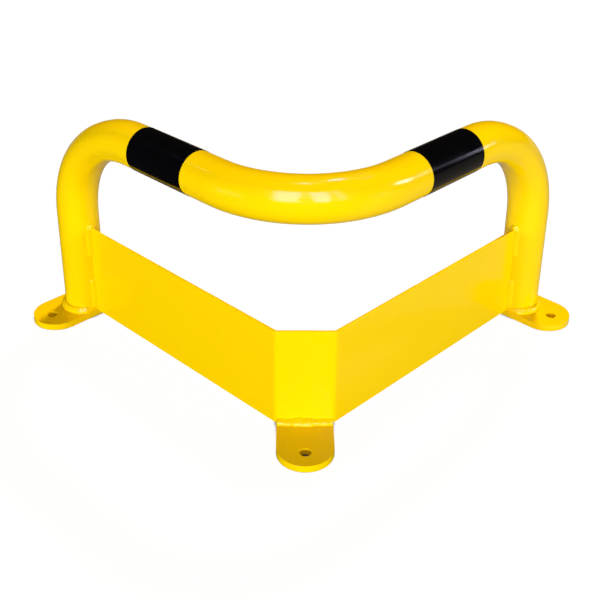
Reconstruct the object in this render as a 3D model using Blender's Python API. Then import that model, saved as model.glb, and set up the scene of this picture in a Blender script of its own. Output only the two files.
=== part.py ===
"""Corner protection guard.

A steel tube is bent into a low rail with two legs. The rail turns through a right
angle at the corner that it protects. A folded underrun plate is welded between the
legs, and three foot plates carry anchor holes. The corner points towards -Y, the
floor is at Z = 0, and the origin is under the middle of the guard. Lengths are in
metres.
"""

import math

import bmesh
import bpy
from mathutils import Vector

# Clearance between pieces that touch
CLEARANCE = 0.0003

# Bent tube
TUBE_RADIUS = 0.03805
TUBE_WALL = 0.003
RAIL_HEIGHT = 0.400
WING_LENGTH = 0.5935
LEG_BEND_RADIUS = 0.192
CORNER_BEND_RADIUS = 0.193
LEG_BEND_FLATTENING = 0.08
CORNER_BEND_FLATTENING = 0.03
FLATTENING_EASE = 0.3

# Folded underrun plate
PLATE_THICKNESS = 0.005
PLATE_BELOW_BEND = 0.0207
PLATE_FOLD_RADIUS = 0.006
CORNER_FACE_WIDTH = 0.097

# Foot plates, all cut alike
FOOT_LENGTH = 0.150
FOOT_WIDTH = 0.093
FOOT_THICKNESS = 0.012
FOOT_HEEL_RADIUS = 0.010
ANCHOR_HOLE_RADIUS = 0.0095
ANCHOR_HOLE_FROM_TIP = 0.033
LEG_FROM_TIP = 0.106
LEG_FROM_FOOT_MIDDLE = 0.007
CORNER_FACE_FROM_TIP = 0.108

# Black film bands on the straight runs of the rail
BAND_FROM_LEG_BEND = 0.0265
BAND_FROM_CORNER_BEND = 0.049
BAND_THICKNESS = 0.0004

# Weld beads
BASE_WELD_REACH = 0.0075
BASE_WELD_RISE = 0.009
STITCH_WELD_SIZE = 0.006
STITCH_WELD_GAP = 0.048
STITCH_WELD_TAPER = 0.004
FRONT_WELD_REACH = 0.009
FRONT_WELD_RISE = 0.006
FRONT_WELD_WAVE = 0.0015
FRONT_WELD_WAVE_PITCH = 0.033
OUTER_FRONT_WELD_LENGTH = 0.092
INNER_FRONT_WELD_LENGTH = 0.080
BEAD_FULLNESS = 1.5

# Faceting
TUBE_SIDES = 32
LEG_BEND_STEPS = 12
CORNER_BEND_STEPS = 12
FOLD_STEPS = 5
FOOT_TIP_STEPS = 24
FOOT_HEEL_STEPS = 4
HOLE_SIDES = 24
BASE_WELD_STEPS = 30
FRONT_WELD_STEPS = 24
BEAD_FACE_STEPS = 3

# Directions of the left wing: along it from leg to corner, and out of it
UP = Vector((0.0, 0.0, 1.0))
ALONG = Vector((math.sqrt(0.5), -math.sqrt(0.5), 0.0))
OUTWARD = Vector((-math.sqrt(0.5), -math.sqrt(0.5), 0.0))

# Places that follow from the sizes
HALF_SPREAD = WING_LENGTH * math.sqrt(0.5)
FOOT_TOP = FOOT_THICKNESS + CLEARANCE
HALF_PLATE = PLATE_THICKNESS / 2
SEAT_RADIUS = TUBE_RADIUS + CLEARANCE
PLATE_TOP = RAIL_HEIGHT - LEG_BEND_RADIUS - PLATE_BELOW_BEND
STITCH_BOTTOM = FOOT_TOP + BASE_WELD_RISE + 2 * CLEARANCE
STITCH_LENGTH = (PLATE_TOP - STITCH_BOTTOM - STITCH_WELD_GAP) / 2
BAND_START = LEG_BEND_RADIUS + BAND_FROM_LEG_BEND
BAND_END = WING_LENGTH - CORNER_BEND_RADIUS - BAND_FROM_CORNER_BEND
CORNER_FACE_DEPTH = HALF_SPREAD + HALF_PLATE * math.sqrt(2) - CORNER_FACE_WIDTH / 2
FRONT_REACH = CORNER_FACE_DEPTH + CORNER_FACE_FROM_TIP
HEEL_LENGTH = FOOT_LENGTH - LEG_FROM_TIP
NEAR_EDGE = FOOT_WIDTH / 2 - LEG_FROM_FOOT_MIDDLE
HEEL_CORNER = (FOOT_WIDTH / 2 + LEG_FROM_FOOT_MIDDLE + HEEL_LENGTH) * math.sqrt(0.5)
BACK_REACH = HEEL_CORNER - (math.sqrt(2) - 1) * FOOT_HEEL_RADIUS
LEG_Y = (FRONT_REACH - BACK_REACH) / 2
CORNER_FACE_Y = LEG_Y - CORNER_FACE_DEPTH
LEFT_LEG = Vector((-HALF_SPREAD, LEG_Y, 0.0))
RAIL_CORNER = Vector((0.0, LEG_Y - HALF_SPREAD, RAIL_HEIGHT))


def clear_scene():
    """Remove what the scene holds."""
    for item in list(bpy.data.objects):
        bpy.data.objects.remove(item, do_unlink=True)


def make_material(name, colour, roughness):
    """Return a painted surface."""
    material = bpy.data.materials.new(name)
    material.use_nodes = True
    shader = material.node_tree.nodes["Principled BSDF"]
    shader.inputs["Base Color"].default_value = (*colour, 1.0)
    shader.inputs["Roughness"].default_value = roughness
    shader.inputs["Metallic"].default_value = 0.0
    return material


def add_object(name, mesh, material):
    """Put a mesh in the scene under its own name and material."""
    item = bpy.data.objects.new(name, mesh)
    bpy.context.collection.objects.link(item)
    item.data.materials.clear()
    item.data.materials.append(material)
    return item


def finish_mesh(bm, name, sharp_angle=30.0):
    """Turn the faces outwards and return the mesh, smooth over its round parts."""
    bmesh.ops.recalc_face_normals(bm, faces=bm.faces)
    mesh = bpy.data.meshes.new(name)
    bm.to_mesh(mesh)
    bm.free()
    mesh.shade_smooth()
    mesh.set_sharp_from_angle(angle=math.radians(sharp_angle))
    return mesh


def mirrored(vector):
    """Return the same place or direction on the right wing."""
    return Vector((-vector.x, vector.y, vector.z))


def arc_points(centre, radius, start, end, steps):
    """Return points on a level arc, with its angles in degrees from +X."""
    points = []
    for step in range(steps + 1):
        angle = math.radians(start + (end - start) * step / steps)
        points.append(centre + radius * Vector((math.cos(angle), math.sin(angle), 0.0)))
    return points


def bridge(bm, ring, next_ring):
    """Join two closed rings of vertices with a band of faces."""
    count = len(ring)
    for index in range(count):
        after = (index + 1) % count
        bm.faces.new((ring[index], ring[after], next_ring[after], next_ring[index]))


def loft(name, sections):
    """Return a solid skinned over closed sections, with a cap at each end."""
    bm = bmesh.new()
    rings = [[bm.verts.new(point) for point in section] for section in sections]
    for ring, next_ring in zip(rings, rings[1:]):
        bridge(bm, ring, next_ring)
    bm.faces.new(rings[0])
    bm.faces.new(rings[-1])
    return finish_mesh(bm, name)


def ellipse_points(station, growth):
    """Return the tube's section at a station, grown by a wall or a layer."""
    centre, axis_a, axis_b, half_a, half_b = station
    points = []
    for side in range(TUBE_SIDES):
        angle = 2 * math.pi * side / TUBE_SIDES
        across = axis_a * math.cos(angle) * (half_a + growth)
        points.append(centre + across + axis_b * math.sin(angle) * (half_b + growth))
    return points


def hollow_loft(name, stations, outer_growth, inner_growth):
    """Return a pipe along the stations, open at both ends."""
    bm = bmesh.new()
    outer = [[bm.verts.new(p) for p in ellipse_points(s, outer_growth)] for s in stations]
    inner = [[bm.verts.new(p) for p in ellipse_points(s, inner_growth)] for s in stations]
    for rings in (outer, inner):
        for ring, next_ring in zip(rings, rings[1:]):
            bridge(bm, ring, next_ring)
    bridge(bm, outer[0], inner[0])
    bridge(bm, outer[-1], inner[-1])
    return finish_mesh(bm, name)


def bend_ovality(fraction, flattening):
    """Return the half sizes in and across a bend's plane, a fraction of the way round."""
    ease = min(1.0, min(fraction, 1.0 - fraction) / FLATTENING_EASE)
    amount = flattening * ease * ease * (3.0 - 2.0 * ease)
    return TUBE_RADIUS * (1.0 - amount), TUBE_RADIUS * (1.0 + amount / 2)


def leg_bend_stations():
    """Return the stations from the upright left leg to the level run."""
    centre = LEFT_LEG + ALONG * LEG_BEND_RADIUS + UP * (RAIL_HEIGHT - LEG_BEND_RADIUS)
    stations = []
    for step in range(LEG_BEND_STEPS + 1):
        fraction = step / LEG_BEND_STEPS
        angle = fraction * math.pi / 2
        radial = UP * math.sin(angle) - ALONG * math.cos(angle)
        in_plane, across = bend_ovality(fraction, LEG_BEND_FLATTENING)
        place = centre + radial * LEG_BEND_RADIUS
        stations.append((place, radial, OUTWARD, in_plane, across))
    return stations


def corner_bend_stations():
    """Return the stations of the corner bend, from the left run to its middle."""
    centre = RAIL_CORNER + Vector((0.0, CORNER_BEND_RADIUS * math.sqrt(2), 0.0))
    stations = []
    for step in range(CORNER_BEND_STEPS // 2 + 1):
        fraction = step / CORNER_BEND_STEPS
        angle = math.radians(225.0 + 90.0 * fraction)
        radial = Vector((math.cos(angle), math.sin(angle), 0.0))
        in_plane, upright = bend_ovality(fraction, CORNER_BEND_FLATTENING)
        place = centre + radial * CORNER_BEND_RADIUS
        stations.append((place, UP, radial, upright, in_plane))
    return stations


def mirrored_station(station):
    """Return a station's twin on the right wing."""
    centre, axis_a, axis_b, half_a, half_b = station
    return (mirrored(centre), mirrored(axis_a), mirrored(axis_b), half_a, half_b)


def guard_stations():
    """Return the whole path of the tube, from the left foot to the right one."""
    foot = (LEFT_LEG + UP * FOOT_TOP, -ALONG, OUTWARD, TUBE_RADIUS, TUBE_RADIUS)
    left = [foot] + leg_bend_stations() + corner_bend_stations()
    right = [mirrored_station(station) for station in reversed(left[:-1])]
    return left + right


def run_station(distance):
    """Return a station on the straight run, a distance along the wing from the leg."""
    place = LEFT_LEG + UP * RAIL_HEIGHT + ALONG * distance
    return (place, UP, OUTWARD, TUBE_RADIUS, TUBE_RADIUS)


def band_stations(side):
    """Return both ends of a black band."""
    ends = [run_station(BAND_START), run_station(BAND_END)]
    if side == "right":
        ends = [mirrored_station(station) for station in ends]
    return ends


def fold_points(radius):
    """Return the left fold of the underrun plate, on its outer or inner side."""
    outer_radius = PLATE_FOLD_RADIUS + PLATE_THICKNESS
    outer_corner = Vector((-CORNER_FACE_WIDTH / 2, CORNER_FACE_Y, 0.0))
    half_fold = math.radians(22.5)
    middle = math.radians(225.0) + half_fold
    bisector = Vector((math.cos(middle), math.sin(middle), 0.0))
    centre = outer_corner - bisector * outer_radius / math.cos(half_fold)
    return arc_points(centre, radius, 225.0, 270.0, FOLD_STEPS)


def plate_outline():
    """Return the folded strip's outline in plan."""
    end = LEFT_LEG + ALONG * SEAT_RADIUS
    outer = [end + OUTWARD * HALF_PLATE] + fold_points(PLATE_FOLD_RADIUS + PLATE_THICKNESS)
    inner = [end - OUTWARD * HALF_PLATE] + fold_points(PLATE_FOLD_RADIUS)
    outer += [mirrored(point) for point in reversed(outer)]
    inner += [mirrored(point) for point in reversed(inner)]
    return outer + inner[::-1]


def underrun_plate_mesh():
    """Return the folded plate, standing on the front foot plate."""
    outline = plate_outline()
    bottom = [point + UP * FOOT_TOP for point in outline]
    top = [point + UP * PLATE_TOP for point in outline]
    return loft("underrun_plate", [bottom, top])


def foot_outline():
    """Return a foot plate's outline about its anchor hole, with its tip towards -Y."""
    half = FOOT_WIDTH / 2
    tip_centre = Vector((0.0, half - ANCHOR_HOLE_FROM_TIP, 0.0))
    heel_y = FOOT_LENGTH - ANCHOR_HOLE_FROM_TIP - FOOT_HEEL_RADIUS
    heel_x = half - FOOT_HEEL_RADIUS
    right_heel = Vector((heel_x, heel_y, 0.0))
    left_heel = Vector((-heel_x, heel_y, 0.0))
    outline = arc_points(tip_centre, half, 180.0, 360.0, FOOT_TIP_STEPS)
    outline += arc_points(right_heel, FOOT_HEEL_RADIUS, 0.0, 90.0, FOOT_HEEL_STEPS)
    outline += arc_points(left_heel, FOOT_HEEL_RADIUS, 90.0, 180.0, FOOT_HEEL_STEPS)
    return outline


def closed_loop(bm, points):
    """Add a closed loop of edges through the points."""
    verts = [bm.verts.new(point) for point in points]
    return [bm.edges.new((verts[i - 1], verts[i])) for i in range(len(verts))]


def foot_plate_mesh():
    """Return a foot plate with its anchor hole at the origin."""
    bm = bmesh.new()
    hole = arc_points(Vector(), ANCHOR_HOLE_RADIUS, 0.0, 360.0, HOLE_SIDES)[:-1]
    edges = closed_loop(bm, foot_outline()) + closed_loop(bm, hole)
    bmesh.ops.triangle_fill(bm, use_beauty=True, edges=edges)
    raised = bmesh.ops.extrude_face_region(bm, geom=bm.faces[:])
    top = [item for item in raised["geom"] if isinstance(item, bmesh.types.BMVert)]
    bmesh.ops.translate(bm, verts=top, vec=UP * FOOT_THICKNESS)
    return finish_mesh(bm, "foot_plate")


def foot_places():
    """Return each foot plate's anchor hole and its turn about Z in degrees."""
    reach = LEG_FROM_TIP - ANCHOR_HOLE_FROM_TIP
    left = LEFT_LEG + OUTWARD * reach - ALONG * LEG_FROM_FOOT_MIDDLE
    front_y = CORNER_FACE_Y - CORNER_FACE_FROM_TIP + ANCHOR_HOLE_FROM_TIP
    return {
        "left": (left, -45.0),
        "right": (mirrored(left), 45.0),
        "front": (Vector((0.0, front_y, 0.0)), 0.0),
    }


def bead_section(root, side_a, side_b):
    """Return a full fillet section between two legs that start at the root."""
    points = [root]
    for step in range(BEAD_FACE_STEPS + 1):
        angle = math.pi / 2 * step / BEAD_FACE_STEPS
        share_a = math.cos(angle) ** BEAD_FULLNESS if step < BEAD_FACE_STEPS else 0.0
        share_b = math.sin(angle) ** BEAD_FULLNESS
        points.append(root + side_a * share_a + side_b * share_b)
    return points


def base_weld_reach(along, outward):
    """Return how far the bead reaches from the leg in a direction, kept on the foot."""
    room = BASE_WELD_REACH
    if along > 0.0:
        room = min(room, NEAR_EDGE / along - SEAT_RADIUS)
    if outward < 0.0:
        room = min(room, -HEEL_LENGTH / outward - SEAT_RADIUS)
    return room


def base_weld_sections():
    """Return the bead round the left leg, from one face of the plate to the other."""
    skip = math.asin((HALF_PLATE + 2 * CLEARANCE) / SEAT_RADIUS)
    sections = []
    for step in range(BASE_WELD_STEPS + 1):
        angle = skip + (2 * math.pi - 2 * skip) * step / BASE_WELD_STEPS
        radial = ALONG * math.cos(angle) + OUTWARD * math.sin(angle)
        root = LEFT_LEG + radial * SEAT_RADIUS + UP * (FOOT_TOP + CLEARANCE)
        reach = base_weld_reach(math.cos(angle), math.sin(angle))
        rise = BASE_WELD_RISE * (1.0 + reach / BASE_WELD_REACH) / 2
        sections.append(bead_section(root, radial * reach, UP * rise))
    return sections


def stitch_section(face, size):
    """Return a stitch bead's section at the left plate end, on one face of the plate."""
    root_out = HALF_PLATE + CLEARANCE
    tube_out = root_out + size
    root = Vector((math.sqrt(SEAT_RADIUS**2 - root_out**2), root_out))
    on_tube = Vector((math.sqrt(SEAT_RADIUS**2 - tube_out**2), tube_out))
    root_place = ALONG * root.x + OUTWARD * face * root.y
    tube_place = ALONG * on_tube.x + OUTWARD * face * on_tube.y
    return bead_section(root_place, ALONG * size, tube_place - root_place)


def stitch_sections(face, bottom):
    """Return a stitch bead with tapered ends, upwards from its bottom."""
    top = bottom + STITCH_LENGTH
    levels = (bottom, bottom + STITCH_WELD_TAPER, top - STITCH_WELD_TAPER, top)
    sizes = (STITCH_WELD_SIZE / 2, STITCH_WELD_SIZE, STITCH_WELD_SIZE, STITCH_WELD_SIZE / 2)
    sections = []
    for level, size in zip(levels, sizes):
        lift = LEFT_LEG + UP * level
        sections.append([lift + point for point in stitch_section(face, size)])
    return sections


def front_weld_sections(face_y, away, length):
    """Return a wavy bead between the corner face and the front foot plate."""
    sections = []
    for step in range(FRONT_WELD_STEPS + 1):
        x = length * (step / FRONT_WELD_STEPS - 0.5)
        wave = math.sin(2 * math.pi * x / FRONT_WELD_WAVE_PITCH)
        root = Vector((x, face_y + away * CLEARANCE, FOOT_TOP + CLEARANCE))
        toe = Vector((0.0, away * (FRONT_WELD_REACH + FRONT_WELD_WAVE * wave), 0.0))
        sections.append(bead_section(root, toe, UP * FRONT_WELD_RISE))
    return sections


def on_side(sections, side):
    """Return the sections, or their mirror image for the right wing."""
    if side == "left":
        return sections
    return [[mirrored(point) for point in section] for section in sections]


def add_feet(paint):
    """Add the three foot plates, which share one mesh."""
    mesh = foot_plate_mesh()
    for side, (hole, turn) in foot_places().items():
        foot = add_object(f"foot_plate_{side}", mesh, paint)
        foot.location = hole
        foot.rotation_euler.z = math.radians(turn)


def add_bands(film):
    """Add the black bands."""
    inner = CLEARANCE
    outer = CLEARANCE + BAND_THICKNESS
    for side in ("left", "right"):
        name = f"black_band_{side}"
        add_object(name, hollow_loft(name, band_stations(side), outer, inner), film)


def add_leg_welds(paint):
    """Add the beads round each leg and at each end of the plate."""
    heights = {"lower": STITCH_BOTTOM, "upper": PLATE_TOP - STITCH_LENGTH}
    for side in ("left", "right"):
        name = f"base_weld_{side}"
        add_object(name, loft(name, on_side(base_weld_sections(), side)), paint)
        for face, face_name in ((1, "outer"), (-1, "inner")):
            for level_name, bottom in heights.items():
                name = f"stitch_weld_{side}_{face_name}_{level_name}"
                sections = on_side(stitch_sections(face, bottom), side)
                add_object(name, loft(name, sections), paint)


def add_front_welds(paint):
    """Add the beads in front of and behind the corner face."""
    back_y = CORNER_FACE_Y + PLATE_THICKNESS
    beads = {
        "front_weld_outer": (CORNER_FACE_Y, -1, OUTER_FRONT_WELD_LENGTH),
        "front_weld_inner": (back_y, 1, INNER_FRONT_WELD_LENGTH),
    }
    for name, (face_y, away, length) in beads.items():
        add_object(name, loft(name, front_weld_sections(face_y, away, length)), paint)


def main():
    """Build the guard."""
    clear_scene()
    paint = make_material("yellow_paint", (1.0, 0.66, 0.0), 0.32)
    film = make_material("black_film", (0.003, 0.003, 0.005), 0.25)
    tube = hollow_loft("guard_tube", guard_stations(), 0.0, -TUBE_WALL)
    add_object("guard_tube", tube, paint)
    add_object("underrun_plate", underrun_plate_mesh(), paint)
    add_feet(paint)
    add_bands(film)
    add_leg_welds(paint)
    add_front_welds(paint)


main()
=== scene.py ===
import math
from typing import NamedTuple

import bmesh
import bpy
from bpy.props import FloatProperty, FloatVectorProperty, IntProperty, PointerProperty
from mathutils import Matrix, Vector


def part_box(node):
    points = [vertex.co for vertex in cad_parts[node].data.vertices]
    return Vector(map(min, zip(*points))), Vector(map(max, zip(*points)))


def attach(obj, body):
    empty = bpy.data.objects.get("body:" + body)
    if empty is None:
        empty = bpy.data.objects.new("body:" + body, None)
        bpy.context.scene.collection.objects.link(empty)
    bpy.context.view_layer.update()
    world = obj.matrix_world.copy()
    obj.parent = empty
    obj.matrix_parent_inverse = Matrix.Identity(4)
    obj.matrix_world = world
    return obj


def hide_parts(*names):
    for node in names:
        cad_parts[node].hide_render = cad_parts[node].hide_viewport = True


# The dressed corner protection guard: a bent and painted tube, a folded underrun plate,
# three foot plates, two black film bands and the painted weld beads that join them.
# The corner points towards -Y, the floor is at Z = 0, and lengths are in metres.

bl_info = {
    "name": "Corner protection guard",
    "version": (1, 0, 0),
    "blender": (4, 5, 0),
    "location": "3D View > Sidebar > Corner guard",
    "description": "Builds a painted steel guard for a corner, and a studio round it",
    "category": "Add Mesh",
}

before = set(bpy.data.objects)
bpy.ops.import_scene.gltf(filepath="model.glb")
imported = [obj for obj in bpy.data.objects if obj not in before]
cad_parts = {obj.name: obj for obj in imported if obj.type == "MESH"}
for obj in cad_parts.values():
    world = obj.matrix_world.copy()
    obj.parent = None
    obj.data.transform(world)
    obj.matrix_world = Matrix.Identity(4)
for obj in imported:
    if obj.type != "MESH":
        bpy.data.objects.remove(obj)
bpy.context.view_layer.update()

UP = Vector((0.0, 0.0, 1.0))
ALONG = Vector((math.sqrt(0.5), -math.sqrt(0.5), 0.0))
OUTWARD = Vector((-math.sqrt(0.5), -math.sqrt(0.5), 0.0))

# How deep a bead, a band or a plate's end sits in the piece that carries it
SINK = 0.0002


# Sizes and colours


def length_size(name, description, default):
    """Return a length that a user may change."""
    return FloatProperty(
        name=name, description=description, default=default, min=0.0, precision=4, unit="LENGTH"
    )


def colour(name, description, default):
    """Return a colour that a user may change."""
    return FloatVectorProperty(
        name=name, description=description, default=default, subtype="COLOR",
        size=3, min=0.0, max=1.0,
    )


class GuardSizes(bpy.types.PropertyGroup):
    """Sizes of the guard."""

    tube_radius: length_size("Tube radius", "Outer radius of the bent tube", 0.03805)
    tube_wall: length_size("Tube wall", "Thickness of the tube's wall", 0.003)
    rail_height: length_size("Rail height", "Height of the rail's axis", 0.400)
    wing_length: length_size("Wing length", "From a leg's axis to the crossing of the axes", 0.5935)
    leg_bend_radius: length_size("Leg bend", "Radius of the bends over the legs", 0.192)
    corner_bend_radius: length_size("Corner bend", "Radius of the bend at the corner", 0.193)
    leg_bend_flattening: FloatProperty(
        name="Leg bend flattening", description="Share by which a leg bend flattens",
        default=0.08, min=0.0, max=0.3, subtype="FACTOR",
    )
    corner_bend_flattening: FloatProperty(
        name="Corner bend flattening", description="Share by which the corner bend flattens",
        default=0.03, min=0.0, max=0.3, subtype="FACTOR",
    )
    plate_thickness: length_size("Plate", "Thickness of the underrun plate", 0.005)
    plate_below_bend: length_size("Plate drop", "From the leg bend down to the plate's top", 0.0207)
    plate_fold_radius: length_size("Fold radius", "Inner radius of the plate's folds", 0.006)
    plate_edge: length_size("Plate edge", "Rounding of the plate's painted edges", 0.0009)
    corner_face_width: length_size("Corner face", "Width of the plate's middle face", 0.097)
    foot_length: length_size("Foot length", "Length of a foot plate", 0.150)
    foot_width: length_size("Foot width", "Width of a foot plate", 0.093)
    foot_thickness: length_size("Foot thickness", "Thickness of a foot plate", 0.012)
    foot_heel_radius: length_size("Heel radius", "Radius of a foot plate's heel corners", 0.010)
    foot_edge: length_size("Foot edge", "Rounding of a foot plate's painted edges", 0.0016)
    anchor_hole_radius: length_size("Anchor hole", "Radius of an anchor hole", 0.0095)
    anchor_hole_from_tip: length_size("Hole from tip", "From a foot's tip to its hole", 0.033)
    leg_from_tip: length_size("Leg from tip", "From a foot's tip to the leg's axis", 0.106)
    leg_from_middle: length_size("Leg off middle", "From a foot's middle line to the leg", 0.007)
    face_from_tip: length_size("Face from tip", "From the front foot's tip to the plate", 0.108)
    band_from_leg: length_size("Band from leg bend", "From the leg bend to a band", 0.0265)
    band_from_corner: length_size("Band from corner bend", "From the corner bend to a band", 0.049)
    band_thickness: length_size("Band thickness", "Thickness of the black film", 0.0004)
    base_weld_reach: length_size("Base bead reach", "Reach of the beads round the legs", 0.0080)
    base_weld_rise: length_size("Base bead rise", "Rise of the beads round the legs", 0.010)
    stitch_on_plate: length_size("Stitch on plate", "Reach of the stitches on the plate", 0.005)
    stitch_on_tube: length_size("Stitch on tube", "Reach of the stitches on the tube", 0.009)
    stitch_over_top: length_size("Stitch over top", "Rise of a stitch over the plate", 0.008)
    stitch_weld_gap: length_size("Stitch gap", "Gap between two stitches", 0.048)
    front_weld_reach: length_size("Front bead reach", "Reach of the beads on the front foot", 0.0100)
    front_weld_rise: length_size("Front bead rise", "Rise of the beads on the front foot", 0.0085)
    front_weld_length: length_size("Front bead length", "Length of the outer front bead", 0.0945)
    inner_weld_length: length_size("Inner bead length", "Length of the inner front bead", 0.080)
    tube_sides: IntProperty(
        name="Tube sides", description="Facets round the tube", default=96, min=12, max=256
    )


class GuardColours(bpy.types.PropertyGroup):
    """Colours of the guard and its studio."""

    paint: colour("Paint", "Powder coat", (0.970, 0.655, 0.0))
    film: colour("Film", "Black band", (0.0015, 0.0015, 0.0022))
    floor: colour("Floor", "Studio floor, which the camera sees as white", (0.80, 0.80, 0.80))


# Node trees


def add_node(tree, kind, inputs=None, **settings):
    """Add a node, set it up, and fill or join its inputs."""
    node = tree.nodes.new(kind)
    for key, value in settings.items():
        setattr(node, key, value)
    for key, value in (inputs or {}).items():
        if isinstance(value, bpy.types.NodeSocket):
            tree.links.new(value, node.inputs[key])
        else:
            node.inputs[key].default_value = value
    return node


def math_node(tree, operation, first, second=0.0):
    """Return the result of a sum on one or two numbers."""
    node = add_node(tree, "ShaderNodeMath", {0: first, 1: second}, operation=operation)
    return node.outputs[0]


def vector_node(tree, operation, first, second=(0.0, 0.0, 0.0)):
    """Return the result of a sum on vectors."""
    node = add_node(tree, "ShaderNodeVectorMath", {0: first, 1: second}, operation=operation)
    return node.outputs["Value" if operation == "DOT_PRODUCT" else "Vector"]


def scaled(tree, vector, factor):
    """Return a vector times a number."""
    node = add_node(tree, "ShaderNodeVectorMath", {0: vector, "Scale": factor}, operation="SCALE")
    return node.outputs["Vector"]


def named_value(tree, name, kind):
    """Return an attribute that the guide line carries."""
    node = add_node(tree, "GeometryNodeInputNamedAttribute", {"Name": name}, data_type=kind)
    return node.outputs["Attribute"]


def new_tree(name, sockets):
    """Return a geometry tree with named inputs, and its input node."""
    tree = bpy.data.node_groups.new(name, "GeometryNodeTree")
    tree.is_modifier = True
    interface = tree.interface
    interface.new_socket("Guide", in_out="INPUT", socket_type="NodeSocketGeometry")
    for socket_name, kind in sockets.items():
        interface.new_socket(socket_name, in_out="INPUT", socket_type=kind)
    interface.new_socket("Geometry", in_out="OUTPUT", socket_type="NodeSocketGeometry")
    return tree, tree.nodes.new("NodeGroupInput").outputs


def finish_tree(tree, geometry, material):
    """End a tree in smooth, real geometry with its material."""
    smooth = add_node(tree, "GeometryNodeSetShadeSmooth", {"Geometry": geometry})
    real = add_node(tree, "GeometryNodeRealizeInstances", {"Geometry": smooth.outputs[0]})
    painted = add_node(
        tree, "GeometryNodeSetMaterial", {"Geometry": real.outputs[0], "Material": material}
    )
    add_node(tree, "NodeGroupOutput", {"Geometry": painted.outputs[0]})
    return tree


def tube_tree():
    """Return the tree that sweeps a tube along a path and flattens its bends."""
    sockets = {
        "Radius": "NodeSocketFloat",
        "Sides": "NodeSocketInt",
        "Material": "NodeSocketMaterial",
    }
    tree, given = new_tree("Bent tube", sockets)
    path = add_node(tree, "GeometryNodeMeshToCurve", {"Mesh": given["Guide"]})
    ring = add_node(
        tree,
        "GeometryNodeCurvePrimitiveCircle",
        {"Resolution": given["Sides"], "Radius": given["Radius"]},
    )
    sweep = add_node(
        tree,
        "GeometryNodeCurveToMesh",
        {"Curve": path.outputs["Curve"], "Profile Curve": ring.outputs["Curve"]},
    )
    centre = named_value(tree, "centre", "FLOAT_VECTOR")
    axis = named_value(tree, "bend_axis", "FLOAT_VECTOR")
    flattening = named_value(tree, "flattening", "FLOAT")
    place = add_node(tree, "GeometryNodeInputPosition").outputs["Position"]
    from_centre = vector_node(tree, "SUBTRACT", place, centre)
    in_plane = scaled(tree, axis, vector_node(tree, "DOT_PRODUCT", from_centre, axis))
    across = vector_node(tree, "SUBTRACT", from_centre, in_plane)
    squeeze = scaled(tree, in_plane, math_node(tree, "MULTIPLY", flattening, -1.0))
    swell = scaled(tree, across, math_node(tree, "MULTIPLY", flattening, 0.5))
    shaped = add_node(
        tree,
        "GeometryNodeSetPosition",
        {
            "Geometry": sweep.outputs["Mesh"],
            "Offset": vector_node(tree, "ADD", squeeze, swell),
        },
    )
    return finish_tree(tree, shaped.outputs["Geometry"], given["Material"])


# Corners of a bead's profile beyond its face: the root, and the end of the face
ROOT_CORNERS = 2.0
RIPPLE_BOW = 2.0
WAVE_DETAIL = 2.0
WAVE_ACROSS_FACE = 0.02


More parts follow.
